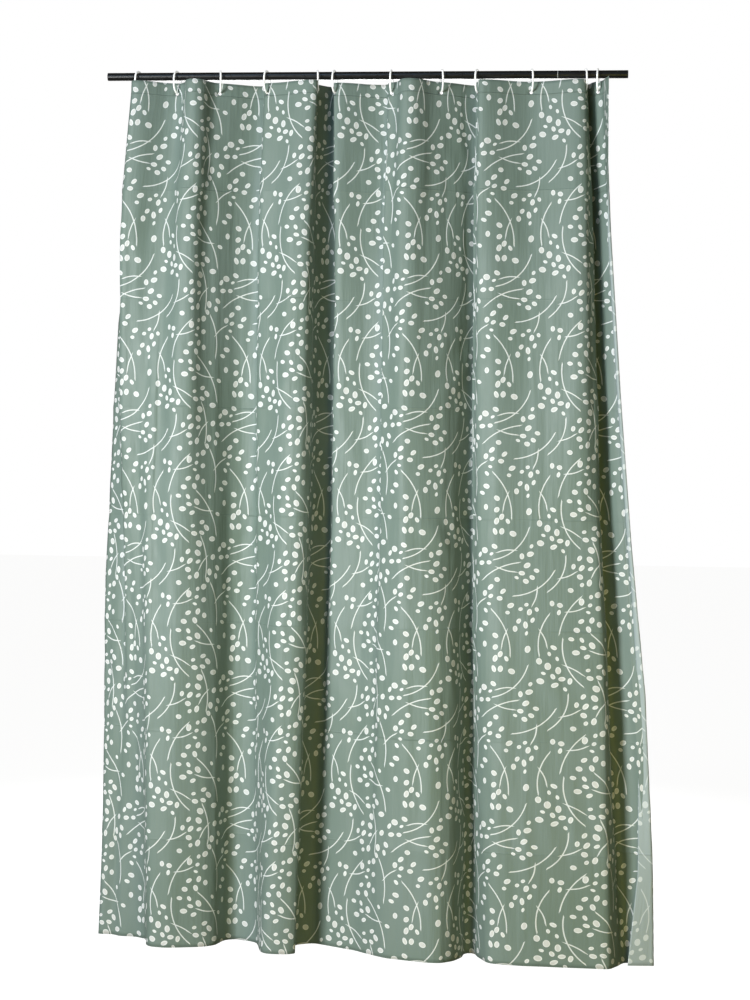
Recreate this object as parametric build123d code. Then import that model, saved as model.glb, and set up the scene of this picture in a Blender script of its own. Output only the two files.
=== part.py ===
from build123d import *

import math
import os

# A shower curtain drawn across its rod. Millimetres. +X runs along the rod to the right, +Y away from the
# person who faces the printed side, +Z up. The origin is the centre of the rod's left end face.

# Rod: two tubes of one diameter, pushed onto a spigot whose thin rib stays visible between them.
ROD_DIAMETER = 18.0
ROD_WALL = 1.0
ROD_LENGTH = 1200.0
JOINT_POSITION = 1040.0
RIB_WIDTH = 1.5
RIB_DIAMETER = 17.6
SPIGOT_REACH = 35.0
SPIGOT_BORE = 9.0
PLUG_FLANGE = 2.0
PLUG_REACH = 16.0
PLUG_WALL = 1.8
PUSH_CLEARANCE = 0.05

# Rings: moulded C-rings of round wire, closed by a ball that snaps into a cup on the rear limb.
RING_HEIGHT = 54.0
RING_DEPTH = 44.0
RING_WIRE = 4.0
RING_PLAY_ON_ROD = 0.3
SNAP_GAP = 0.8
BALL_DIAMETER = 5.6
CUP_DIAMETER = 6.4
CUP_LENGTH = 5.0

# Film: a flat sheet hung from holes at a constant pitch along its top edge.
FILM_HEIGHT = 2000.0
FILM_THICKNESS = 0.5
HOLE_PITCH = 152.0
HOLE_DIAMETER = 8.0
HOLE_DROP = 24.5
HOLE_PLAY = 0.3
BAND_HEIGHT = 30.0
BAND_THICKNESS = 0.5
WELD_GAP = 0.05
DRILL_LENGTH = 8.0
HOLE_FLAT = 6.5
CROWN_SHARE = 0.45
BEND_SHARE = 0.9
FOLD_SHARE = 0.6
EDGE_BEND = 5.0
LINE_STEPS = 140

# How the curtain hangs: (ring position along the rod, ring turn about the vertical in degrees, and the side
# to which the film bulges between this ring and the next: -1 towards the viewer, 1 away).
HANGING = [
    (73.0, 14.0, -1),
    (163.0, 12.0, -1),
    (264.0, -12.0, 1),
    (373.0, 12.0, -1),
    (490.0, -10.0, 1),
    (530.0, 10.0, 1),
    (661.0, 4.0, -1),
    (777.0, -10.0, 1),
    (858.0, 12.0, -1),
    (982.0, -8.0, -1),
    (1104.0, -7.0, 1),
    (1132.0, 7.0, 0),
]
LEFT_EDGE_TOP = (62.0, 60.0)
RIGHT_EDGE_TOP = (1154.0, -56.0)

# Folds of the bottom edge as (x, y) of each crest and valley, from the left free edge to the right one.
# The last points are the right margin, which curls towards the viewer and back.
BOTTOM_FOLDS = [
    (-22.0, 96.0),
    (30.0, 84.0),
    (108.0, 68.0),
    (134.0, -4.0),
    (178.0, -22.0),
    (268.0, 4.0),
    (302.0, 88.0),
    (370.0, 64.0),
    (392.0, -36.0),
    (460.0, -30.0),
    (468.0, 52.0),
    (516.0, 76.0),
    (616.0, 22.0),
    (686.0, -42.0),
    (794.0, -72.0),
    (852.0, -34.0),
    (882.0, 40.0),
    (908.0, -30.0),
    (1004.0, -78.0),
    (1100.0, -56.0),
    (1228.0, -2.0),
    (1286.0, -12.0),
    (1278.0, -40.0),
    (1226.0, -50.0),
]

ROD_RADIUS = ROD_DIAMETER / 2
TUBE_BORE = ROD_DIAMETER - 2 * ROD_WALL
WIRE_RADIUS = RING_WIRE / 2
RING_TOP = ROD_RADIUS + RING_PLAY_ON_ROD + WIRE_RADIUS
RING_BEND = RING_DEPTH / 2 - WIRE_RADIUS
RING_LIMB = RING_HEIGHT - RING_DEPTH
RING_CENTRE = RING_TOP - RING_BEND - RING_LIMB / 2
RING_BOTTOM = RING_TOP - RING_HEIGHT + RING_WIRE
HOLE_CENTRE = RING_BOTTOM + WIRE_RADIUS + HOLE_PLAY - HOLE_DIAMETER / 2
FILM_TOP = HOLE_CENTRE + HOLE_DROP
BAND_LEVELS = (0, BAND_HEIGHT / FILM_HEIGHT)
FILM_LEVELS = (*BAND_LEVELS, 0.15, 0.4, 1)
FILM_BOTTOM = FILM_TOP - FILM_HEIGHT


def along_x(start, length, diameter):
    """A cylinder on the rod's axis."""
    return Plane.YZ.offset(start) * extrude(Circle(diameter / 2), length)


def tube(start, end):
    return along_x(start, end - start, ROD_DIAMETER) - along_x(start, end - start, TUBE_BORE)


def joint_spigot():
    """The stub inside both tubes, with the rib that their ends meet."""
    stub_length = 2 * SPIGOT_REACH + RIB_WIDTH
    stub_start = JOINT_POSITION - SPIGOT_REACH
    stub = along_x(stub_start, stub_length, TUBE_BORE - 2 * PUSH_CLEARANCE)
    rib = along_x(JOINT_POSITION, RIB_WIDTH, RIB_DIAMETER)
    spigot = chamfer((stub + rib).edges().filter_by(GeomType.CIRCLE).group_by(Axis.X)[0], 1.0)
    spigot = chamfer(spigot.edges().filter_by(GeomType.CIRCLE).group_by(Axis.X)[-1], 1.0)
    return spigot - along_x(stub_start, stub_length, SPIGOT_BORE)


def end_plug(face, direction):
    """A moulded cup pushed into the tube, with a flange that covers the tube's end."""
    flange = along_x(0, PLUG_FLANGE, ROD_DIAMETER)
    flange = fillet(flange.edges().filter_by(GeomType.CIRCLE).group_by(Axis.X)[0], 0.6)
    stem_diameter = TUBE_BORE - 2 * PUSH_CLEARANCE
    stem = along_x(PLUG_FLANGE, PLUG_REACH, stem_diameter)
    hollow = along_x(PLUG_FLANGE, PLUG_REACH, stem_diameter - 2 * PLUG_WALL)
    plug = flange + (stem - hollow)
    if direction < 0:
        plug = plug.mirror(Plane.YZ)
    return Pos(face, 0, 0) * plug


def ring(position, turn):
    """A stadium of round wire in the plane across the rod, open for the snap on the rear limb."""
    half_limb = RING_LIMB / 2
    rear, front = RING_BEND, -RING_BEND
    upper_tip = (0, rear, RING_CENTRE + SNAP_GAP / 2)
    lower_tip = (0, rear, RING_CENTRE - SNAP_GAP / 2)
    path = Wire(
        [
            Edge.make_line(upper_tip, (0, rear, RING_CENTRE + half_limb)),
            Edge.make_three_point_arc(
                (0, rear, RING_CENTRE + half_limb),
                (0, 0, RING_TOP),
                (0, front, RING_CENTRE + half_limb),
            ),
            Edge.make_line((0, front, RING_CENTRE + half_limb), (0, front, RING_CENTRE - half_limb)),
            Edge.make_three_point_arc(
                (0, front, RING_CENTRE - half_limb),
                (0, 0, RING_BOTTOM),
                (0, rear, RING_CENTRE - half_limb),
            ),
            Edge.make_line((0, rear, RING_CENTRE - half_limb), lower_tip),
        ]
    )
    wire = sweep(Plane(origin=upper_tip, z_dir=(0, 0, 1)) * Circle(WIRE_RADIUS), path)
    ball = Pos(0, rear, upper_tip[2] + BALL_DIAMETER / 2) * Sphere(BALL_DIAMETER / 2)
    cup = Pos(0, rear, lower_tip[2] - CUP_LENGTH / 2) * Cylinder(CUP_DIAMETER / 2, CUP_LENGTH)
    cup = chamfer(cup.edges().filter_by(GeomType.CIRCLE).group_by(Axis.Z)[0], 1.0)
    return Pos(position, 0, 0) * Rot(0, 0, -turn) * (wire + ball + cup)


def corner_radius(turn, reach):
    """The radius of a bend that uses up this reach of the straight stretch before its corner."""
    return reach / math.tan(turn / 2)


def bulge(run, crown):
    """Depth and bend radius of a flat-topped bulge whose film is one hole pitch long."""
    low, high = 0.0, HOLE_PITCH
    reach = BEND_SHARE * min(HOLE_FLAT, crown)
    for _ in range(40):
        depth = (low + high) / 2
        turn = math.atan2(depth, run)
        radius = corner_radius(turn, reach)
        saved = 4 * radius * (2 * math.tan(turn / 2) - turn)
        length = 2 * (HOLE_FLAT + crown + math.hypot(run, depth)) - saved
        if length < HOLE_PITCH:
            low = depth
        else:
            high = depth
    return depth, radius


def top_path():
    """The film's top edge: flat where each ring passes through it, with one bulge between each two rings."""
    first, last = HANGING[0][0], HANGING[-1][0]
    points = [LEFT_EDGE_TOP, (first - HOLE_FLAT, 0.0)]
    radii = [EDGE_BEND]
    for (x, _, side), (next_x, _, _) in zip(HANGING, HANGING[1:]):
        start, end = x + HOLE_FLAT, next_x - HOLE_FLAT
        crown = CROWN_SHARE * (end - start) / 2
        depth, radius = bulge((end - start) / 2 - crown, crown)
        middle = (start + end) / 2
        points += [(start, 0.0), (middle - crown, side * depth), (middle + crown, side * depth), (end, 0.0)]
        radii += 4 * [radius]
    points += [(last + HOLE_FLAT, 0.0), RIGHT_EDGE_TOP]
    radii.append(EDGE_BEND)
    return FilletPolyline(*points, radius=radii)


def bottom_path():
    """The film's bottom edge, whose bends each use up most of the shorter stretch beside them."""
    radii = []
    for before, corner, after in zip(BOTTOM_FOLDS, BOTTOM_FOLDS[1:], BOTTOM_FOLDS[2:]):
        heading_in = math.atan2(corner[1] - before[1], corner[0] - before[0])
        heading_out = math.atan2(after[1] - corner[1], after[0] - corner[0])
        turn = abs(math.remainder(heading_out - heading_in, math.tau))
        shorter = min(math.dist(before, corner), math.dist(corner, after))
        radii.append(corner_radius(turn, FOLD_SHARE * shorter / 2))
    return FilletPolyline(*BOTTOM_FOLDS, radius=radii)


def middle_line(share):
    """Corner points of the film's level line part of the way down, spaced evenly along both its edges."""
    line_top, line_bottom = top_path(), bottom_path()
    points = []
    for i in range(LINE_STEPS + 1):
        high, low = line_top @ (i / LINE_STEPS), line_bottom @ (i / LINE_STEPS)
        points.append(high + (low - high) * share)
    return points


def side_line(share, offset):
    """The corner points of a level line set off sideways from the film's middle line."""
    middle = middle_line(share)
    level = FILM_TOP - share * FILM_HEIGHT
    before, after = [middle[0], *middle[:-1]], [*middle[1:], middle[-1]]
    points = []
    for spot, previous, following in zip(middle, before, after):
        heading = (following - previous).normalized()
        points.append(Vector(spot.X - offset * heading.Y, spot.Y + offset * heading.X, level))
    return points


def facets(lines):
    """Flat triangles between each line of points and the one below it."""
    faces = []
    for upper, lower in zip(lines, lines[1:]):
        for i in range(1, len(upper)):
            faces.append(Face(Wire.make_polygon([upper[i - 1], upper[i], lower[i]])))
            faces.append(Face(Wire.make_polygon([upper[i - 1], lower[i], lower[i - 1]])))
    return faces


def strip(shares, thickness, setback):
    """A closed strip of film between the first and the last of these shares of its height."""
    fronts = [side_line(share, setback - thickness / 2) for share in shares]
    rears = [side_line(share, setback + thickness / 2) for share in shares]
    faces = facets(fronts) + facets(rears)
    for end in (0, -1):
        faces += facets([[front[end], rear[end]] for front, rear in zip(fronts, rears)])
        faces.append(Face(Wire.make_polygon(fronts[end] + rears[end][::-1])))
    return Solid(Shell(faces))


def hole_cutter(position, turn):
    """A drill through the film along the ring's wire, where the wire passes."""
    drill = Rot(90, 0, 0) * Cylinder(HOLE_DIAMETER / 2, DRILL_LENGTH)
    return Pos(position, 0, HOLE_CENTRE) * Rot(0, 0, -turn) * drill


def punched(sheet):
    for position, turn, _ in HANGING:
        sheet -= hole_cutter(position, turn)
    return sheet


def curtain_film():
    return punched(strip(FILM_LEVELS, FILM_THICKNESS, 0))


def header_band():
    """The strip welded to the rear of the film along its top edge, through which the holes pass too."""
    setback = (FILM_THICKNESS + BAND_THICKNESS) / 2 + WELD_GAP
    return punched(strip(BAND_LEVELS, BAND_THICKNESS, setback))


nodes = {
    "rod_long_tube": tube(PLUG_FLANGE, JOINT_POSITION),
    "rod_short_tube": tube(JOINT_POSITION + RIB_WIDTH, ROD_LENGTH - PLUG_FLANGE),
    "rod_joint_spigot": joint_spigot(),
    "rod_end_plug_left": end_plug(0, 1),
    "rod_end_plug_right": end_plug(ROD_LENGTH, -1),
    "curtain_film": curtain_film(),
    "header_band": header_band(),
}
for number, (position, turn, _) in enumerate(HANGING, start=1):
    nodes[f"ring_{number:02d}"] = ring(position, turn)

os.makedirs("parts", exist_ok=True)
for name, shape in nodes.items():
    shape.label = name
    export_step(shape, f"parts/{name}.step")
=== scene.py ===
"""The looks of a printed film shower curtain, hung from twelve snap rings on its rod."""

import math
import random

import bmesh
import bpy
import numpy as np
from mathutils import Matrix, Vector


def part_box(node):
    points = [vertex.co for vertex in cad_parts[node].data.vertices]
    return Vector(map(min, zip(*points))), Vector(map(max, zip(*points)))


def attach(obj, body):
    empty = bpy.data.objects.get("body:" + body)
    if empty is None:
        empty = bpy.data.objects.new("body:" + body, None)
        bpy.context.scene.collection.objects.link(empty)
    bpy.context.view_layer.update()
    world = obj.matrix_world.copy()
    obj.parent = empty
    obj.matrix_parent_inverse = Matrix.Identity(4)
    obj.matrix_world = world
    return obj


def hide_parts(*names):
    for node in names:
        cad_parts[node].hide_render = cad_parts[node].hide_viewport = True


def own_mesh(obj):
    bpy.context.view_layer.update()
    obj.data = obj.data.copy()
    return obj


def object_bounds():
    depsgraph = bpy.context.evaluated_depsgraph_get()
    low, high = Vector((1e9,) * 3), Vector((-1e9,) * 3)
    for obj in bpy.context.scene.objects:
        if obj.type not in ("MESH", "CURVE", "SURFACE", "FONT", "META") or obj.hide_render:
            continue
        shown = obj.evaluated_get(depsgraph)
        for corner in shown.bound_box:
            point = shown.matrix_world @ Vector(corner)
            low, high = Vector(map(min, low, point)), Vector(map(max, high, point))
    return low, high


# Metres. +X runs along the rod, +Y away from the viewer, +Z up, as in the frame.

# Camera
CAMERA_PLACE = (0.981, -4.096, -0.98)
CAMERA_YAW, CAMERA_PITCH, CAMERA_ROLL = 4.795, 0.069, 0.837
CAMERA_LENS, CAMERA_SENSOR = 64.44, 36.0

# Film, as it was cut
FILM_WIDTH, FILM_HEIGHT = 1.8, 2.0
FILM_THICKNESS = 0.0004
BAND_HEIGHT, BAND_THICKNESS, WELD_GAP = 0.030, 0.0004, 0.0001
WELD_WIDTH, CREASE_WIDTH = 0.0016, 0.0024
HOLE_PITCH, EDGE_TO_HOLE = 0.152, 0.064
HOLE_RADIUS, HOLE_DROP = 0.004, 0.0245
PANEL_WIDTH, PANEL_HEIGHT = 0.225, 0.250
COLUMNS_PER_PITCH, MARGIN_COLUMNS, FLAP_COLUMNS = 16, 7, 18
ROW_STEP = 0.010

# How the film hangs: its heading at each ring in degrees, positive where it runs away from the viewer, and
# for the bulge after each ring, its side (-1 towards the viewer, 1 away) and its crown's share of the film.
RING_HEADINGS = (0, 4, 14, 0, 50, 0, 0, 14, 0, 0, 55, 0)
BULGES = (
    (-1, 0.34),
    (-1, 0.50),
    (1, 0.72),
    (-1, 0.78),
    (1, 0.76),
    (1, 0.80),
    (-1, 0.43),
    (1, 0.74),
    (-1, 0.22),
    (-1, 0.84),
    (1, 0.72),
)
LEFT_MARGIN_TURN, RIGHT_MARGIN_TURN = -80.0, -70.0
MARGIN_BEND = 0.014
BULGE_FLATNESS = 1.4
STEEPEST_TURN, STEEPEST_LINE, STEEPEST_MARGIN = 2.9, 2.8, 1.5
LINE_SOFTNESS = 2.5

# Where the film below each ring hangs: its x at these distances below the top edge
LINE_LEVELS = (0.35, 0.95, 1.45, 2.0)
RING_LINES = (
    (0.060, 0.046, 0.037, 0.039),
    (0.138, 0.124, 0.124, 0.134),
    (0.254, 0.258, 0.268, 0.277),
    (0.362, 0.362, 0.367, 0.374),
    (0.486, 0.486, 0.480, 0.468),
    (0.536, 0.538, 0.534, 0.526),
    (0.651, 0.653, 0.655, 0.660),
    (0.780, 0.788, 0.798, 0.806),
    (0.856, 0.862, 0.872, 0.884),
    (0.986, 0.990, 0.992, 0.992),
    (1.118, 1.138, 1.164, 1.178),
    (1.158, 1.197, 1.236, 1.283),
)

# Left free edge and rightmost fold, as (distance below the top edge, x)
LEFT_EDGE = ((0.0, 0.063), (0.20, 0.050), (0.55, 0.016), (1.15, -0.009), (1.75, -0.009), (2.0, -0.016))
RIGHT_FOLD = (
    (0.0, 1.154),
    (0.20, 1.156),
    (0.35, 1.162),
    (0.72, 1.190),
    (1.05, 1.219),
    (1.39, 1.256),
    (1.76, 1.278),
    (2.0, 1.285),
)
EDGE_DEPTHS_TOP = (0.060, -0.056)

# How much of the right margin is turned back over the front, as (distance below the top edge, width)
FLAP_WIDTHS = (
    (0.0, 0.0),
    (0.20, 0.0),
    (0.42, 0.008),
    (1.15, 0.010),
    (1.45, 0.019),
    (1.8, 0.034),
    (2.0, 0.060),
)
FLAP_TURN, FLAP_BEND = -164.0, 0.005
FLAP_SOFTNESS = 10
# FLAP_ROOT is the film before the flap's fold whose heading the flap is turned from. The flap opens over
# FLAP_START below the top edge. FLAP_CALM is how far from the film's end its relief begins and is full.
FLAP_ROOT = (0.06, 0.01)
FLAP_START, FLAP_CALM = (0.06, 0.42), (0.07, 0.11)

# Crests and valleys of the bottom edge as (x, y), from the left free edge to the fold of the right margin
BOTTOM_FOLDS = (
    (-0.022, 0.096),
    (0.030, 0.084),
    (0.108, 0.068),
    (0.134, -0.004),
    (0.178, -0.022),
    (0.268, 0.004),
    (0.302, 0.088),
    (0.370, 0.064),
    (0.392, -0.036),
    (0.460, -0.030),
    (0.468, 0.052),
    (0.516, 0.076),
    (0.616, 0.022),
    (0.686, -0.042),
    (0.794, -0.072),
    (0.852, -0.034),
    (0.882, 0.040),
    (0.908, -0.056),
    (0.994, -0.064),
    (1.106, -0.074),
    (1.160, -0.060),
    (1.222, -0.012),
    (1.286, -0.020),
)
FOLD_SOFTNESS = 6.5

# The film is bent in fine steps along its width. LINE_SOFTNESS and FOLD_SOFTNESS count such steps, and
# FLAP_SOFTNESS counts rows.
FINE_STEP = 0.002

# Relief of the film: the number of its upright buckles and slanting dents, the (height, width) of its packing
# creases, and how far from a hole the relief begins and is full
BUCKLES, DENTS = 90, 60
LEVEL_CREASE, UPRIGHT_CREASE = (0.0022, 0.022), (0.0012, 0.018)
CALM_ROUND_HOLES = (0.008, 0.045)
BUCKLE_SEED, DENT_SEED = 7, 19

# Print: one tile of sprigs, repeated. Pairs are the least and the most of a random length, share or angle.
TILE = 0.310
PRINT_SEED = 2
SPRIGS_PER_TILE, PLACES_TRIED = 11, 300
LEAVES_PER_TILE, LEAVES_TRIED = 102, 6000
LEAF_SPACING, SPRIG_LEAF_SPACING = 0.0156, 0.0154
LEAF_LENGTHS, LEAF_SHAPES = (0.0100, 0.0125, 0.0135, 0.0145, 0.0160), (0.62, 0.86)
STEM_CLEARANCE = 0.0085
STEM_LEAN = 58.0
STEM_LENGTHS, STEM_RADII = (0.090, 0.118), (0.085, 0.150)
FORKS, FORK_ANGLES = (0.42, 0.58), (44, 66)
BRANCH_LENGTHS, BRANCH_RADII = (0.030, 0.037), (0.06, 0.11)
# Ovals about the tips of a sprig's branch and stem, as (distance from the tip, degrees to its side)
BRANCH_FAN = ((0.014, -62), (0.018, 4), (0.015, 70), (0.031, -34), (0.033, 26), (0.046, -4))
STEM_FAN = ((0.013, -14), (0.021, 66), (0.030, 14))
STEM_WIDTH = 0.0026
EGG_SHARE = 1.12
PRINT_EDGE = 0.0003
HEART_EDGE = (0.0018, 0.0036)

# Colours, linear
SAGE = (0.210, 0.277, 0.246)
SAGE_DEEP = (0.188, 0.255, 0.215)
PRINT_WHITE = (0.90, 0.92, 0.91)
LEAF_HEART = (0.70, 0.70, 0.68)
REVERSE_GROUND = (0.42, 0.50, 0.50)
REVERSE_PRINT = (0.70, 0.75, 0.75)
ROD_BLACK = (0.005, 0.005, 0.005)
PLUG_BLACK = (0.008, 0.008, 0.008)
JOINT_GREY = (0.42, 0.42, 0.41)
RING_WHITE = (0.90, 0.90, 0.89)
BAND_DULL, BAND_PALE = (0.52, 0.58, 0.57), (0.60, 0.65, 0.64)

# Surface of the film: gloss, light let through, and the depth of its draping, grain and pressed lines
FILM_ROUGHNESS, INK_ROUGHNESS = (0.50, 0.58), 0.06
FILM_SPECULAR, FILM_TRANSLUCENCY = 0.42, 0.12
DRAPE_DEPTH, GRAIN_DEPTH, LINE_DEPTH = 0.0035, 0.00006, 0.0010

FLOOR_DROP = 0.09
FLOOR_SIZE = 60.0


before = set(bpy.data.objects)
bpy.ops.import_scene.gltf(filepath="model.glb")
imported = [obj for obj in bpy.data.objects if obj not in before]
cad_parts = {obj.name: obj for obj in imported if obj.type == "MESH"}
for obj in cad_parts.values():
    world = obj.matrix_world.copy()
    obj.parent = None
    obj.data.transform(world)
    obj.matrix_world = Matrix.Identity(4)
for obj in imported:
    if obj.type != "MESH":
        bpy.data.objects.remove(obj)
cad_bounds = [list(corner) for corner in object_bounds()]


def collection_object(name, data):
    made = bpy.data.objects.new(name, data)
    bpy.context.scene.collection.objects.link(made)
    return made


# ---------------------------------------------------------------- camera, lights and floor


def add_camera():
    yaw, pitch, roll = (math.radians(a) for a in (CAMERA_YAW, CAMERA_PITCH, CAMERA_ROLL))
    forward = Vector((-math.sin(yaw) * math.cos(pitch), math.cos(yaw) * math.cos(pitch), math.sin(pitch)))
    level_right = Vector((math.cos(yaw), math.sin(yaw), 0.0))
    level_up = level_right.cross(forward)
    right = math.cos(roll) * level_right + math.sin(roll) * level_up
    up = -math.sin(roll) * level_right + math.cos(roll) * level_up
    data = bpy.data.cameras.new("camera")
    data.sensor_width = CAMERA_SENSOR
    data.lens = CAMERA_LENS
    camera = collection_object("camera", data)
    turn = Matrix((right, up, -forward)).transposed()
    camera.matrix_world = Matrix.Translation(CAMERA_PLACE) @ turn.to_4x4()
    bpy.context.scene.camera = camera


def add_light(name, place, target, size, power, colour, spread=180.0):
    data = bpy.data.lights.new(name, "AREA")
    data.shape = "RECTANGLE"
    data.size, data.size_y = size
    data.energy = power
    data.color = colour
    data.spread = math.radians(spread)
    light = collection_object(name, data)
    light.location = place
    aim = Vector(target) - Vector(place)
    light.rotation_euler = aim.to_track_quat("-Z", "Y").to_euler()
    return light


def add_world():
    """White all round, but dimmer as a light than as a backdrop."""
    world = bpy.data.worlds.new("studio")
    bpy.context.scene.world = world
    world.use_nodes = True
    nodes, links = world.node_tree.nodes, world.node_tree.links
    nodes.clear()
    output = nodes.new("ShaderNodeOutputWorld")
    seen = nodes.new("ShaderNodeBackground")
    seen.inputs["Color"].default_value = (1.0, 1.0, 1.0, 1.0)
    seen.inputs["Strength"].default_value = 1.0
    lighting = nodes.new("ShaderNodeBackground")
    lighting.inputs["Color"].default_value = (1.0, 0.97, 0.85, 1.0)
    lighting.inputs["Strength"].default_value = 0.13
    path = nodes.new("ShaderNodeLightPath")
    mix = nodes.new("ShaderNodeMixShader")
    links.new(path.outputs["Is Camera Ray"], mix.inputs[0])
    links.new(lighting.outputs[0], mix.inputs[1])
    links.new(seen.outputs[0], mix.inputs[2])
    links.new(mix.outputs[0], output.inputs["Surface"])


def add_floor():
    low = cad_bounds[0][2] - FLOOR_DROP
    half = FLOOR_SIZE / 2
    mesh = bpy.data.meshes.new("floor")
    corners = [(-half, -half, low), (half, -half, low), (half, half, low), (-half, half, low)]
    mesh.from_pydata(corners, [], [(0, 1, 2, 3)])
    floor = collection_object("floor", mesh)
    material, nodes, links, shader = new_material("floor_paint")
    shader.inputs["Base Color"].default_value = (0.30, 0.30, 0.30, 1.0)
    shader.inputs["Roughness"].default_value = 0.9
    shader.inputs["Specular IOR Level"].default_value = 0.0
    shader.inputs["Emission Color"].default_value = (1.0, 1.0, 1.0, 1.0)
    shader.inputs["Emission Strength"].default_value = 0.93
    mesh.materials.append(material)
    floor.visible_diffuse = False
    floor.visible_glossy = False


# ---------------------------------------------------------------- material helpers


def new_material(name):
    """A material with one Principled shader, and what is needed to add to it."""
    material = bpy.data.materials.new(name)
    material.use_nodes = True
    nodes, links = material.node_tree.nodes, material.node_tree.links
    nodes.clear()
    output = nodes.new("ShaderNodeOutputMaterial")
    shader = nodes.new("ShaderNodeBsdfPrincipled")
    links.new(shader.outputs[0], output.inputs["Surface"])
    return material, nodes, links, shader


def set_input(tree, socket, value):
    if isinstance(value, bpy.types.NodeSocket):
        tree.links.new(value, socket)
    else:
        socket.default_value = value


def math_node(tree, operation, *values):
    node = tree.nodes.new("ShaderNodeMath")
    node.operation = operation
    for socket, value in zip(node.inputs, values):
        set_input(tree, socket, value)
    return node.outputs[0]


def vector_node(tree, operation, *values):
    node = tree.nodes.new("ShaderNodeVectorMath")
    node.operation = operation
    for socket, value in zip(node.inputs, values):
        set_input(tree, socket, value)
    return node.outputs["Value" if operation in ("DISTANCE", "DOT_PRODUCT", "LENGTH") else "Vector"]


def noise_node(tree, vector, scale, detail=2.0, roughness=0.5):
    node = tree.nodes.new("ShaderNodeTexNoise")
    node.inputs["Scale"].default_value = scale
    node.inputs["Detail"].default_value = detail
    node.inputs["Roughness"].default_value = roughness
    tree.links.new(vector, node.inputs["Vector"])
    return node.outputs["Fac"]


def range_node(tree, value, low, high, to_low=0.0, to_high=1.0):
    node = tree.nodes.new("ShaderNodeMapRange")
    for name, number in (("From Min", low), ("From Max", high), ("To Min", to_low), ("To Max", to_high)):
        node.inputs[name].default_value = number
    tree.links.new(value, node.inputs["Value"])
    return node.outputs["Result"]


def mix_colour(tree, share, first, second):
    node = tree.nodes.new("ShaderNodeMix")
    node.data_type = "RGBA"
    set_input(tree, node.inputs["Factor"], share)
    for socket, value in ((node.inputs[6], first), (node.inputs[7], second)):
        set_input(tree, socket, value if isinstance(value, bpy.types.NodeSocket) else (*value, 1.0))
    return node.outputs[2]


def bump_node(tree, height, distance, normal=None):
    node = tree.nodes.new("ShaderNodeBump")
    node.inputs["Distance"].default_value = distance
    node.inputs["Strength"].default_value = 1.0
    tree.links.new(height, node.inputs["Height"])
    if normal is not None:
        tree.links.new(normal, node.inputs["Normal"])
    return node.outputs["Normal"]


# ---------------------------------------------------------------- print


class Arc:
    """Part of a circle that starts at a point with a heading and bends left (+1) or right (-1)."""

    def __init__(self, start, heading, length, radius, side):
        self.start, self.heading, self.radius, self.side = np.array(start), heading, radius, side
        self.sweep = length / radius
        self.centre = self.start + side * radius * np.array((-math.sin(heading), math.cos(heading)))

    def heading_at(self, share):
        return self.heading + self.side * self.sweep * share

    def point(self, share):
        heading = self.heading_at(share)
        return self.centre - self.side * self.radius * np.array((-math.sin(heading), math.cos(heading)))

    def moved(self, shift):
        return Arc(self.start + shift, self.heading, self.sweep * self.radius, self.radius, self.side)


def unit(angle):
    return np.array((math.cos(angle), math.sin(angle)))


def make_sprig(draw):
    """A stem with one side branch, and ovals about both tips. Leaves are (centre, angle, length, width)."""
    heading = math.radians(draw.choice((90, -90)) + draw.uniform(-STEM_LEAN, STEM_LEAN))
    side = draw.choice((-1, 1))
    stem = Arc((0.0, 0.0), heading, draw.uniform(*STEM_LENGTHS), draw.uniform(*STEM_RADII), side)
    fork = draw.uniform(*FORKS)
    branch_side = draw.choice((-1, 1))
    branch_heading = stem.heading_at(fork) + branch_side * math.radians(draw.uniform(*FORK_ANGLES))
    branch_bend = draw.choice((-1, -1, 1)) * branch_side
    branch_length, branch_radius = draw.uniform(*BRANCH_LENGTHS), draw.uniform(*BRANCH_RADII)
    branch = Arc(stem.point(fork), branch_heading, branch_length, branch_radius, branch_bend)
    leaves = []
    for arc, fan in ((branch, BRANCH_FAN), (stem, STEM_FAN)):
        tip, ahead = arc.point(1), arc.heading_at(1)
        for reach, aside in fan:
            aside = branch_side * math.radians(aside) + draw.uniform(-0.16, 0.16)
            centre = tip + reach * draw.uniform(0.92, 1.1) * unit(ahead + aside)
            leaves.append(make_leaf(draw, centre, ahead + 0.6 * aside))
    return [stem, branch], leaves


def make_leaf(draw, centre, angle):
    length = draw.choice(LEAF_LENGTHS)
    width = length * draw.uniform(*LEAF_SHAPES)
    return centre, angle + draw.uniform(-0.4, 0.4), length, width


def nearest(points, others):
    """The shortest distance between two sets of points on the repeating tile."""
    if not len(others):
        return TILE
    apart = np.abs(points[:, None, :] - others[None, :, :]) % TILE
    apart = np.minimum(apart, TILE - apart)
    return float(np.sqrt((apart**2).sum(axis=2)).min())


def arc_points(arcs):
    return np.array([arc.point(share) for arc in arcs for share in np.linspace(0, 1, 12)])


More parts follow.
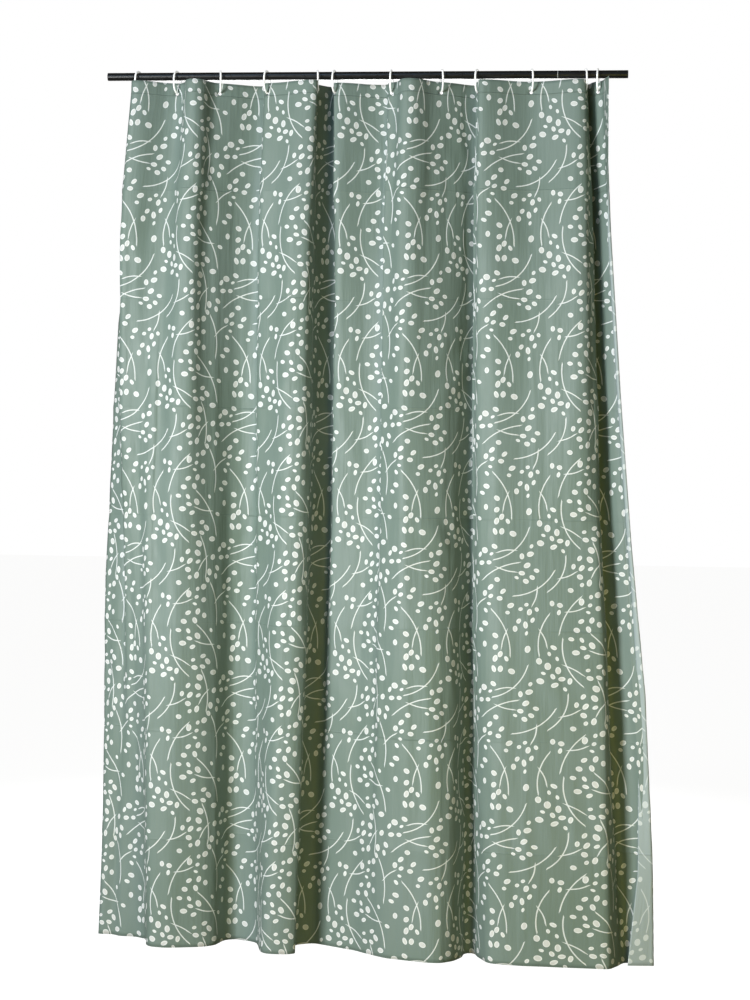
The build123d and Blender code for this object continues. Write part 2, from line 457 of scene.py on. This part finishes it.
def arrange_tile(draw):
    """Sprigs over the tile, each in the roomiest of many random places, and single leaves in the gaps."""
    arcs, leaves = [], []
    taken = np.zeros((0, 2))
    for _ in range(SPRIGS_PER_TILE):
        best, best_room = None, -1.0
        for _ in range(PLACES_TRIED):
            new_arcs, new_leaves = make_sprig(draw)
            shift = np.array((draw.uniform(0, TILE), draw.uniform(0, TILE)))
            spots = np.vstack([arc_points(new_arcs), [leaf[0] for leaf in new_leaves]]) + shift
            room = nearest(spots, taken)
            if room > best_room:
                best, best_room = (new_arcs, new_leaves, shift), room
        new_arcs, new_leaves, shift = best
        new_arcs = [arc.moved(shift) for arc in new_arcs]
        arcs += new_arcs
        for centre, angle, length, width in new_leaves:
            spot = (centre + shift)[None, :]
            clear_of_leaves = nearest(spot, np.array([leaf[0] for leaf in leaves])) > SPRIG_LEAF_SPACING
            if clear_of_leaves and nearest(spot, arc_points(arcs)) > STEM_CLEARANCE:
                leaves.append((spot[0], angle, length, width))
        taken = np.vstack([arc_points(arcs), [leaf[0] for leaf in leaves]])
    for _ in range(LEAVES_TRIED):
        if len(leaves) >= LEAVES_PER_TILE:
            break
        spot = np.array((draw.uniform(0, TILE), draw.uniform(0, TILE)))
        if nearest(spot[None, :], taken) > LEAF_SPACING:
            leaves.append(make_leaf(draw, spot, draw.uniform(0, math.pi)))
            taken = np.vstack([taken, spot])
    return arcs, leaves


def copies_in_tile(points, reach):
    """The shifts by whole tiles that bring any of these points into the tile or within reach of it."""
    for column in (-1, 0, 1):
        for row in (-1, 0, 1):
            shift = TILE * np.array((column, row))
            moved = points + shift
            if ((moved > -reach) & (moved < TILE + reach)).all(axis=1).any():
                yield shift


def flat3(point):
    return (float(point[0]), float(point[1]), 0.0)


def print_group():
    """A node group that turns the film's flat coordinates into the masks of leaves and stems."""
    tree = bpy.data.node_groups.new("sprig_print", "ShaderNodeTree")
    tree.interface.new_socket("Flat", in_out="INPUT", socket_type="NodeSocketVector")
    for name in ("Leaf", "Heart", "Stem"):
        tree.interface.new_socket(name, in_out="OUTPUT", socket_type="NodeSocketFloat")
    entry, leave = tree.nodes.new("NodeGroupInput"), tree.nodes.new("NodeGroupOutput")
    place = vector_node(tree, "WRAP", entry.outputs[0], (TILE, TILE, 1.0), (0.0, 0.0, -1.0))
    arcs, leaves = arrange_tile(random.Random(PRINT_SEED))

    leaf_field = None
    for centre, angle, length, width in leaves:
        focus = math.sqrt(length**2 - width**2) / 2 * unit(angle)
        for shift in copies_in_tile(centre[None, :], length):
            near = vector_node(tree, "DISTANCE", place, flat3(centre + shift - focus))
            far = vector_node(tree, "DISTANCE", place, flat3(centre + shift + focus))
            both = math_node(tree, "MULTIPLY_ADD", far, EGG_SHARE, near)
            field = math_node(tree, "SUBTRACT", both, (1 + EGG_SHARE) * length / 2)
            leaf_field = field if leaf_field is None else math_node(tree, "MINIMUM", leaf_field, field)

    stem_field = None
    for arc in arcs:
        for shift in copies_in_tile(arc_points([arc]), STEM_WIDTH):
            centre = arc.centre + shift
            middle = (arc.point(0.5) - arc.centre) / arc.radius
            limit = float(centre @ middle) + arc.radius * math.cos(arc.sweep / 2)
            reach = vector_node(tree, "DISTANCE", place, flat3(centre))
            off_line = math_node(tree, "ABSOLUTE", math_node(tree, "SUBTRACT", reach, arc.radius))
            along = vector_node(tree, "DOT_PRODUCT", place, flat3(middle))
            past_end = math_node(tree, "SUBTRACT", limit, along)
            field = math_node(tree, "MAXIMUM", off_line, past_end)
            stem_field = field if stem_field is None else math_node(tree, "MINIMUM", stem_field, field)

    leaf = range_node(tree, leaf_field, PRINT_EDGE, -PRINT_EDGE)
    heart = range_node(tree, leaf_field, -HEART_EDGE[0], -HEART_EDGE[1])
    stem = range_node(tree, stem_field, (STEM_WIDTH + PRINT_EDGE) / 2, (STEM_WIDTH - PRINT_EDGE) / 2)
    for result, socket in zip((leaf, heart, stem), leave.inputs):
        tree.links.new(result, socket)
    return tree


# ---------------------------------------------------------------- materials


def film_material(name, group, front):
    """Printed film. The front has the ground colour, and the milky rear shows the print through."""
    material, nodes, links, shader = new_material(name)
    tree = material.node_tree
    flat = nodes.new("ShaderNodeUVMap")
    flat.uv_map = "flat"
    place = flat.outputs[0]
    printed = nodes.new("ShaderNodeGroup")
    printed.node_tree = group
    links.new(place, printed.inputs[0])
    leaf, heart, stem = printed.outputs
    cloud = range_node(tree, noise_node(tree, place, 3.0, 3.0), 0.35, 0.65)
    if front:
        ground = mix_colour(tree, cloud, SAGE, SAGE_DEEP)
        ink = mix_colour(tree, math_node(tree, "MULTIPLY", heart, 0.8), PRINT_WHITE, LEAF_HEART)
        colour = mix_colour(tree, math_node(tree, "MULTIPLY", stem, 0.86), ground, PRINT_WHITE)
        colour = mix_colour(tree, leaf, colour, ink)
    else:
        mask = math_node(tree, "MAXIMUM", leaf, math_node(tree, "MULTIPLY", stem, 0.8))
        ground = mix_colour(tree, cloud, REVERSE_GROUND, tuple(0.93 * c for c in REVERSE_GROUND))
        colour = mix_colour(tree, mask, ground, REVERSE_PRINT)
    links.new(colour, shader.inputs["Base Color"])
    ink_share = math_node(tree, "MAXIMUM", leaf, stem)
    haze = noise_node(tree, place, 40.0, 4.0)
    rough = range_node(tree, haze, 0.3, 0.7, *FILM_ROUGHNESS)
    rough = math_node(tree, "MULTIPLY_ADD", ink_share, INK_ROUGHNESS, rough)
    links.new(rough, shader.inputs["Roughness"])
    shader.inputs["Specular IOR Level"].default_value = FILM_SPECULAR
    streaks = nodes.new("ShaderNodeMapping")
    streaks.inputs["Scale"].default_value = (1.0, 0.09, 1.0)
    links.new(place, streaks.inputs["Vector"])
    drape = noise_node(tree, streaks.outputs[0], 34.0, 3.0, 0.6)
    grain = noise_node(tree, place, 900.0, 2.0)
    normal = bump_node(tree, drape, DRAPE_DEPTH)
    normal = bump_node(tree, grain, GRAIN_DEPTH, normal=normal)
    below_top = nodes.new("ShaderNodeSeparateXYZ")
    links.new(place, below_top.inputs[0])
    off_weld = math_node(tree, "ABSOLUTE", math_node(tree, "SUBTRACT", below_top.outputs["Y"], BAND_HEIGHT))
    off_crease = math_node(tree, "PINGPONG", below_top.outputs["Y"], PANEL_HEIGHT / 2)
    crease = math_node(tree, "MULTIPLY", range_node(tree, off_crease, CREASE_WIDTH, 0.0), cloud)
    lines = math_node(tree, "ADD", range_node(tree, off_weld, WELD_WIDTH, 0.0), crease)
    normal = bump_node(tree, lines, LINE_DEPTH, normal=normal)
    links.new(normal, shader.inputs["Normal"])
    through = nodes.new("ShaderNodeBsdfTranslucent")
    links.new(colour, through.inputs["Color"])
    mix = nodes.new("ShaderNodeMixShader")
    mix.inputs[0].default_value = FILM_TRANSLUCENCY
    links.new(shader.outputs[0], mix.inputs[1])
    links.new(through.outputs[0], mix.inputs[2])
    output = next(node for node in nodes if node.type == "OUTPUT_MATERIAL")
    links.new(mix.outputs[0], output.inputs["Surface"])
    return material


def moulded_material(name, colour, roughness, waviness, coat=0.0, painted_glow=0.0):
    """Plastic or enamel with slightly uneven colour, gloss and surface, and painted light: an emission glow
    that brightens a part as if lit, used on the thin white rings.
    """
    material, nodes, links, shader = new_material(name)
    tree = material.node_tree
    spot = nodes.new("ShaderNodeTexCoord").outputs["Object"]
    cloud = noise_node(tree, spot, 35.0, 3.0)
    pale = tuple(min(1.0, c * 1.12 + 0.002) for c in colour)
    links.new(mix_colour(tree, cloud, colour, pale), shader.inputs["Base Color"])
    worn = noise_node(tree, spot, 160.0, 4.0, 0.65)
    links.new(range_node(tree, worn, 0.3, 0.7, roughness * 0.85, roughness * 1.2), shader.inputs["Roughness"])
    peel = noise_node(tree, spot, 420.0, 2.0)
    links.new(bump_node(tree, peel, waviness), shader.inputs["Normal"])
    shader.inputs["Coat Weight"].default_value = coat
    shader.inputs["Coat Roughness"].default_value = 0.2
    # Painted light: a white emission glow that brightens the part evenly though it is no lamp.
    shader.inputs["Emission Color"].default_value = (1.0, 1.0, 1.0, 1.0)
    shader.inputs["Emission Strength"].default_value = painted_glow
    return material


def band_material():
    """Plain milky film of the welded header strip."""
    material, nodes, links, shader = new_material("band_film")
    tree = material.node_tree
    flat = nodes.new("ShaderNodeUVMap")
    flat.uv_map = "flat"
    cloud = noise_node(tree, flat.outputs[0], 60.0, 3.0)
    links.new(mix_colour(tree, cloud, BAND_DULL, BAND_PALE), shader.inputs["Base Color"])
    links.new(range_node(tree, cloud, 0.3, 0.7, 0.32, 0.45), shader.inputs["Roughness"])
    emboss = noise_node(tree, flat.outputs[0], 700.0, 1.0)
    links.new(bump_node(tree, emboss, 0.0001), shader.inputs["Normal"])
    return material


# ---------------------------------------------------------------- how the film hangs


def smooth_step(value, low, high):
    share = np.clip((value - low) / (high - low), 0.0, 1.0)
    return share * share * (3 - 2 * share)


def bulge_parts(share, crown, before, after):
    """The parts of a bulge's heading: the turn at its two rings, and its sides before and after the crown."""
    rings = before * (1 - smooth_step(share, 0.0, 0.3)) + after * smooth_step(share, 0.7, 1.0)
    first = np.sin(math.pi * np.clip(share / crown, 0, 1)) ** BULGE_FLATNESS
    second = np.sin(math.pi * np.clip((share - crown) / (1 - crown), 0, 1)) ** BULGE_FLATNESS
    return rings, first, second


def bulge_turns(run, side, crown, before, after):
    """The steepest turns of a bulge's two sides with which one hole pitch of film ends at the next ring."""
    share = (np.arange(100) + 0.5) / 100
    rings, first, second = bulge_parts(share, crown, before, after)
    turns = np.linspace(0.0, STEEPEST_TURN, 180)
    headings = rings + side * (turns[:, None, None] * first - turns[None, :, None] * second)
    miss_x = HOLE_PITCH * np.cos(headings).mean(axis=2) - run
    miss_y = HOLE_PITCH * np.sin(headings).mean(axis=2)
    best = np.unravel_index(np.argmin(miss_x**2 + miss_y**2), miss_x.shape)
    return turns[best[0]], turns[best[1]]


def top_headings(along):
    """The heading of the top edge along the film: set at each ring, with a bulge between rings."""
    heading = np.zeros_like(along)
    for k, (side, crown) in enumerate(BULGES):
        start = EDGE_TO_HOLE + k * HOLE_PITCH
        inside = (along >= start) & (along < start + HOLE_PITCH)
        before, after = (math.radians(turn) for turn in RING_HEADINGS[k : k + 2])
        turns = bulge_turns(ring_places[k + 1] - ring_places[k], side, crown, before, after)
        rings, first, second = bulge_parts((along[inside] - start) / HOLE_PITCH, crown, before, after)
        heading[inside] = rings + side * (turns[0] * first - turns[1] * second)
    last = EDGE_TO_HOLE + len(BULGES) * HOLE_PITCH
    left, right = along < EDGE_TO_HOLE, along >= last
    heading[left] = math.radians(LEFT_MARGIN_TURN) * smooth_step(EDGE_TO_HOLE - along[left], 0, MARGIN_BEND)
    heading[right] = math.radians(RIGHT_MARGIN_TURN) * smooth_step(along[right] - last, 0, MARGIN_BEND)
    return heading


def bottom_folds():
    """The straight pieces of the bottom edge: their ends along the film, headings and depths."""
    points = np.array(BOTTOM_FOLDS)
    runs = np.diff(points, axis=0)
    lengths = np.hypot(runs[:, 0], runs[:, 1])
    ends = np.cumsum(lengths) * (FILM_WIDTH - FLAP_WIDTHS[-1][1]) / lengths.sum()
    return ends, np.unwrap(np.arctan2(runs[:, 1], runs[:, 0])), points[:, 1]


def softened(values, spread):
    """Evenly spaced values, each averaged with its neighbours, with this standard deviation in steps."""
    reach = int(3 * spread)
    weights = np.exp(-0.5 * (np.arange(-reach, reach + 1) / spread) ** 2)
    return np.convolve(np.pad(values, reach, mode="edge"), weights / weights.sum(), mode="valid")


def bottom_headings(along):
    ends, angles, _ = bottom_folds()
    return softened(angles[np.searchsorted(ends, along).clip(0, len(angles) - 1)], FOLD_SOFTNESS)


def buckles(along, down, draw):
    """Small upright waves in the heading, each strongest in its own patch of the film."""
    waves = np.zeros((len(down), len(along)))
    for _ in range(BUCKLES):
        centre_s, centre_v = draw.uniform(0, FILM_WIDTH), draw.uniform(0.1, FILM_HEIGHT)
        width, height = draw.uniform(0.03, 0.10), draw.uniform(0.18, 0.7)
        length, lean = draw.uniform(0.028, 0.075), draw.uniform(-0.05, 0.05)
        phase, strength = draw.uniform(0, math.tau), draw.uniform(0.05, 0.17)
        off = along[None, :] - centre_s - lean * (down[:, None] - centre_v)
        patch = np.exp(-((off / width) ** 2) - ((down[:, None] - centre_v) / height) ** 2)
        waves += strength * patch * np.sin(math.tau * off / length + phase)
    return waves * smooth_step(down, 0.02, 0.22)[:, None]


def hanging_lines(down):
    """For the free edge, each ring's line and the last fold: distance along the film, x and y in each row."""
    drop = down / FILM_HEIGHT
    holes = EDGE_TO_HOLE + HOLE_PITCH * np.arange(len(ring_places))
    fold = FILM_WIDTH - np.interp(down, *zip(*FLAP_WIDTHS))
    along = np.vstack([np.zeros(len(down)), np.repeat(holes[:, None], len(down), axis=1), fold])
    x = [np.interp(down, *zip(*LEFT_EDGE))]
    for place, line in zip(ring_places, RING_LINES):
        x.append(np.interp(down, (HOLE_DROP, *LINE_LEVELS), (place, *line)))
    x.append(np.interp(down, *zip(*RIGHT_FOLD)))
    ends, _, depths = bottom_folds()
    low = np.interp(along[:, -1], np.hstack([0.0, ends]), depths)
    high = np.hstack([EDGE_DEPTHS_TOP[0], np.zeros(len(holes)), EDGE_DEPTHS_TOP[1]])
    y = high[:, None] + (low - high)[:, None] * smooth_step(drop, -0.3, 1.0)[None, :] ** 1.2
    y[1:-1] *= smooth_step(down, 0.0, 0.5)[None, :]
    return along, np.array(x), y


def fitted_headings(headings, fine, stations, x):
    """The headings, made steeper or flatter between neighbouring lines until the film spans them."""
    fitted = headings.copy()
    for k in range(len(stations) - 1):
        inside = (fine[None, :] >= stations[k][:, None]) & (fine[None, :] < stations[k + 1][:, None])
        steepest = STEEPEST_MARGIN if k in (0, len(stations) - 2) else STEEPEST_LINE
        low, high = np.zeros(len(x[k])), np.full(len(x[k]), 3.0)
        for _ in range(24):
            scale = (low + high) / 2
            turned = np.clip(scale[:, None] * headings, -steepest, steepest)
            wide = (np.cos(turned) * inside).sum(axis=1) * FINE_STEP > x[k + 1] - x[k]
            low, high = np.where(wide, scale, low), np.where(wide, high, scale)
        fitted = np.where(inside, turned, fitted)
    return np.array([softened(row, LINE_SOFTNESS) for row in fitted])


def film_lines(along, down):
    """x and y of the film at its real width: a row for each distance down, a column for each along."""
    fine = np.arange(0, FILM_WIDTH + FINE_STEP / 2, FINE_STEP)
    blend = ((down / FILM_HEIGHT) ** 0.85)[:, None]
    headings = (1 - blend) * top_headings(fine)[None, :] + blend * bottom_headings(fine)[None, :]
    headings += buckles(fine, down, random.Random(BUCKLE_SEED))
    stations, line_x, line_y = hanging_lines(down)
    headings = fitted_headings(headings, fine, stations, line_x)
    fold = stations[-1][:, None]
    flap = smooth_step(fine[None, :] - fold, -FLAP_BEND, FLAP_BEND) * smooth_step(down, *FLAP_START)[:, None]
    before_fold = (fine[None, :] > fold - FLAP_ROOT[0]) & (fine[None, :] < fold - FLAP_ROOT[1])
    at_fold = (headings * before_fold).sum(axis=1) / before_fold.sum(axis=1)
    at_fold = softened(at_fold, FLAP_SOFTNESS)[:, None]
    headings = headings * (1 - flap) + (at_fold + math.radians(FLAP_TURN)) * flap
    x, y = (np.cumsum(part, axis=1) * FINE_STEP for part in (np.cos(headings), np.sin(headings)))
    for row in range(len(down)):
        at = stations[:, row]
        for line, wanted in ((x[row], line_x[:, row]), (y[row], line_y[:, row])):
            line += np.interp(fine, at, wanted - np.interp(at, fine, line))
    return [np.array([np.interp(along, fine, line) for line in lines]) for lines in (x, y)]


def grid_columns():
    """Distances along the film of its columns, with a fine group at each hole."""
    columns = list(np.linspace(0, EDGE_TO_HOLE - HOLE_RADIUS, MARGIN_COLUMNS, endpoint=False))
    for k in range(len(ring_places)):
        hole = EDGE_TO_HOLE + k * HOLE_PITCH
        columns += [hole + HOLE_RADIUS * share for share in (-1, -0.5, 0, 0.5)]
        if k < len(ring_places) - 1:
            start, end = hole + HOLE_RADIUS, hole + HOLE_PITCH - HOLE_RADIUS
            columns += list(np.linspace(start, end, COLUMNS_PER_PITCH, endpoint=False))
    last = EDGE_TO_HOLE + (len(ring_places) - 1) * HOLE_PITCH + HOLE_RADIUS
    return np.array(columns + list(np.linspace(last, FILM_WIDTH, FLAP_COLUMNS + 1)))


def grid_rows():
    """Distances below the top edge of the film's rows, with a fine group at the holes and one at the weld."""
    rows = list(np.linspace(0, HOLE_DROP - HOLE_RADIUS, 3, endpoint=False))
    rows += [HOLE_DROP + HOLE_RADIUS * share for share in (-1, -0.5, 0, 0.5, 1)]
    rows += [BAND_HEIGHT, BAND_HEIGHT + 0.002, BAND_HEIGHT + 0.008]
    count = round((FILM_HEIGHT - rows[-1]) / ROW_STEP)
    return np.array(rows + list(np.linspace(rows[-1], FILM_HEIGHT, count + 1)[1:]))


def sheet_normals(points):
    """Unit normals of a grid of points, towards the printed side."""
    across = np.gradient(points, axis=1)
    downwards = np.gradient(points, axis=0)
    normals = np.cross(downwards, across)
    return normals / np.linalg.norm(normals, axis=2)[:, :, None]


def parallel_creases(distance, extent, panel, height, width):
    """The relief of creases one panel apart, by turns to the printed side and to the rear."""
    relief = np.zeros(len(distance))
    for k in range(1, int(extent / panel)):
        side = 1 if k % 2 else -1
        relief += side * height * np.exp(-np.abs(distance - k * panel) / width)
    return relief


def packing_creases(along, down):
    """How far the folds from packing stand out of the film, which lay folded in panels."""
    level = parallel_creases(down, FILM_HEIGHT, PANEL_HEIGHT, *LEVEL_CREASE)
    upright = parallel_creases(along, FILM_WIDTH, PANEL_WIDTH, *UPRIGHT_CREASE)
    return level[:, None] + upright[None, :]


def dents(along, down, draw):
    """Shallow slanting wrinkles in patches."""
    height = np.zeros((len(down), len(along)))
    for _ in range(DENTS):
        centre_s, centre_v = draw.uniform(0, FILM_WIDTH), draw.uniform(0.1, FILM_HEIGHT)
        angle, length = draw.uniform(-0.9, 0.9), draw.uniform(0.04, 0.09)
        size, strength = draw.uniform(0.04, 0.12), draw.uniform(0.0005, 0.0016)
        off_s, off_v = along[None, :] - centre_s, down[:, None] - centre_v
        across = off_s * math.cos(angle) + off_v * math.sin(angle)
        patch = np.exp(-(off_s**2 + off_v**2) / size**2)
        height += strength * patch * np.sin(math.tau * across / length + draw.uniform(0, math.tau))
    return height


def near_holes(along, down):
    """1 at a hole, falling to 0 a few centimetres away."""
    holes = EDGE_TO_HOLE + HOLE_PITCH * np.arange(len(ring_places))
    off = np.abs(along[:, None] - holes[None, :]).min(axis=1)
    distance = np.hypot(off[None, :], down[:, None] - HOLE_DROP)
    return 1 - smooth_step(distance, *CALM_ROUND_HOLES)


def rounded_holes(along, down):
    """Flat coordinates of the grid, with the small square about each hole drawn in to a circle."""
    flat_s, flat_v = np.meshgrid(along, down)
    open_cells = []
    middle_row = int(np.argmin(np.abs(down - HOLE_DROP)))
    for k in range(len(ring_places)):
        hole = EDGE_TO_HOLE + k * HOLE_PITCH
        middle = int(np.argmin(np.abs(along - hole)))
        for row in range(middle_row - 2, middle_row + 3):
            for column in range(middle - 2, middle + 3):
                off_s, off_v = flat_s[row, column] - hole, flat_v[row, column] - HOLE_DROP
                if max(abs(row - middle_row), abs(column - middle)) == 2:
                    reach = HOLE_RADIUS / math.hypot(off_s, off_v)
                    flat_s[row, column] = hole + off_s * reach
                    flat_v[row, column] = HOLE_DROP + off_v * reach
        for r in range(middle_row - 2, middle_row + 2):
            open_cells += [(r, c) for c in range(middle - 2, middle + 2)]
    return flat_s, flat_v, set(open_cells)


def bilinear(grid, along, down, flat_s, flat_v):
    """A grid's values at flat coordinates between its rows and columns."""
    column = np.clip(np.searchsorted(along, flat_s) - 1, 0, len(along) - 2)
    row = np.clip(np.searchsorted(down, flat_v) - 1, 0, len(down) - 2)
    across = ((flat_s - along[column]) / (along[column + 1] - along[column]))[:, :, None]
    below = ((flat_v - down[row]) / (down[row + 1] - down[row]))[:, :, None]
    upper = grid[row, column] * (1 - across) + grid[row, column + 1] * across
    lower = grid[row + 1, column] * (1 - across) + grid[row + 1, column + 1] * across
    return upper * (1 - below) + lower * below


def sheet_mesh(name, points, flat_s, flat_v, open_cells):
    """A one-layer mesh of a grid of points, without the cells in the holes, and flat coordinates as UVs."""
    rows, columns = flat_s.shape
    faces = []
    for row in range(rows - 1):
        for column in range(columns - 1):
            if (row, column) not in open_cells:
                first = row * columns + column
                faces.append((first, first + columns, first + columns + 1, first + 1))
    mesh = bpy.data.meshes.new(name)
    mesh.from_pydata(points.reshape(-1, 3).tolist(), [], faces)
    layer = mesh.uv_layers.new(name="flat")
    corners = np.zeros(len(mesh.loops), np.int32)
    mesh.loops.foreach_get("vertex_index", corners)
    flat = np.stack([flat_s.ravel(), flat_v.ravel()], axis=1)[corners]
    layer.data.foreach_set("uv", flat.astype(np.float32).ravel())
    shell = bmesh.new()
    shell.from_mesh(mesh)
    bmesh.ops.delete(shell, geom=[v for v in shell.verts if not v.link_faces], context="VERTS")
    shell.to_mesh(mesh)
    shell.free()
    return mesh


def thick_sheet(name, mesh, thickness, materials):
    """The sheet with its real two sides, front material first."""
    for material in materials:
        mesh.materials.append(material)
    piece = collection_object(name, mesh)
    solidify = piece.modifiers.new("thickness", "SOLIDIFY")
    solidify.thickness = thickness
    solidify.offset = 0.0
    solidify.material_offset = len(materials) - 1
    solidify.material_offset_rim = 0
    graph = bpy.context.evaluated_depsgraph_get()
    thick = bpy.data.meshes.new_from_object(piece.evaluated_get(graph), depsgraph=graph)
    piece.modifiers.clear()
    piece.data = thick
    for polygon in thick.polygons:
        polygon.use_smooth = True
    thick.name = name
    return piece


def hang_film(group):
    """The printed film in its folds, and the band welded behind its top edge."""
    along, down = grid_columns(), grid_rows()
    x, y = film_lines(along, down)
    z = film_top - np.repeat(down[:, None], len(along), axis=1)
    points = np.stack([x, y, z], axis=2)
    relief = packing_creases(along, down) + dents(along, down, random.Random(DENT_SEED))
    relief *= (1 - near_holes(along, down)) * smooth_step(FILM_WIDTH - along, *FLAP_CALM)[None, :]
    points += relief[:, :, None] * sheet_normals(points)
    flat_s, flat_v, open_cells = rounded_holes(along, down)
    normals = sheet_normals(points)
    points, normals = (bilinear(grid, along, down, flat_s, flat_v) for grid in (points, normals))

    mesh = sheet_mesh("curtain_film_hung", points, flat_s, flat_v, open_cells)
    front = film_material("printed_film_front", group, True)
    rear = film_material("printed_film_rear", group, False)
    film = thick_sheet("printed_film", mesh, FILM_THICKNESS, [front, rear])

    rows = int(np.argmin(np.abs(down - BAND_HEIGHT))) + 1
    setback = (FILM_THICKNESS + BAND_THICKNESS) / 2 + WELD_GAP
    behind = (points - setback * normals)[:rows]
    mesh = sheet_mesh("header_band_hung", behind, flat_s[:rows], flat_v[:rows], open_cells)
    band = thick_sheet("welded_band", mesh, BAND_THICKNESS, [band_material()])
    return film, band


# ---------------------------------------------------------------- assembly

ring_nodes = sorted(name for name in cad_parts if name.startswith("ring_"))
ring_places = [float(sum(corner[0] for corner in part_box(name)) / 2) for name in ring_nodes]
film_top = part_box("curtain_film")[1][2]

bpy.context.scene.view_settings.view_transform = "Standard"
add_camera()
add_world()
add_light("key", (-1.55, -3.3, -0.86), (1.0, 0.0, -0.98), (1.0, 1.3), 68.5, (0.96, 0.99, 1.0), 110.0)
add_light("cool_top", (0.0, -2.6, 1.2), (0.7, 0.0, -0.4), (1.2, 0.8), 12.0, (0.42, 0.68, 1.0))
add_light("warm_fill", (1.9, -2.6, -1.9), (1.0, 0.0, -1.6), (1.2, 0.8), 15.0, (1.0, 0.86, 0.05))
back = add_light("back", (0.3, 3.6, -0.7), (0.65, 0.0, -0.95), (1.6, 1.6), 55.0, (1.0, 1.0, 0.98), 120.0)
back.visible_camera = False
add_floor()

film, band = hang_film(print_group())
for piece, node, slot in ((film, "curtain_film", "printed_film"), (band, "header_band", "band_film")):
    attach(piece, "curtain")
    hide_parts(node)
    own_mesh(piece)

FINISHES = {
    "rod_long_tube": moulded_material("rod_enamel_long", ROD_BLACK, 0.30, 0.00001),
    "rod_short_tube": moulded_material("rod_enamel_short", ROD_BLACK, 0.32, 0.00001),
    "rod_joint_spigot": moulded_material("joint_plastic", JOINT_GREY, 0.40, 0.00005),
    "rod_end_plug_left": moulded_material("plug_plastic_left", PLUG_BLACK, 0.45, 0.0001),
    "rod_end_plug_right": moulded_material("plug_plastic_right", PLUG_BLACK, 0.45, 0.0001),
}
# The rings carry painted light: their emission glow brightens the white plastic as if lit.
ring_painted_glow_finish = moulded_material("ring_plastic", RING_WHITE, 0.22, 0.00001, coat=0.3, painted_glow=0.35)
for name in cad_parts:
    if name in FINISHES or name in ring_nodes:
        node_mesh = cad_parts[name].data
        node_mesh.materials.clear()
        node_mesh.materials.append(FINISHES.get(name, ring_painted_glow_finish))
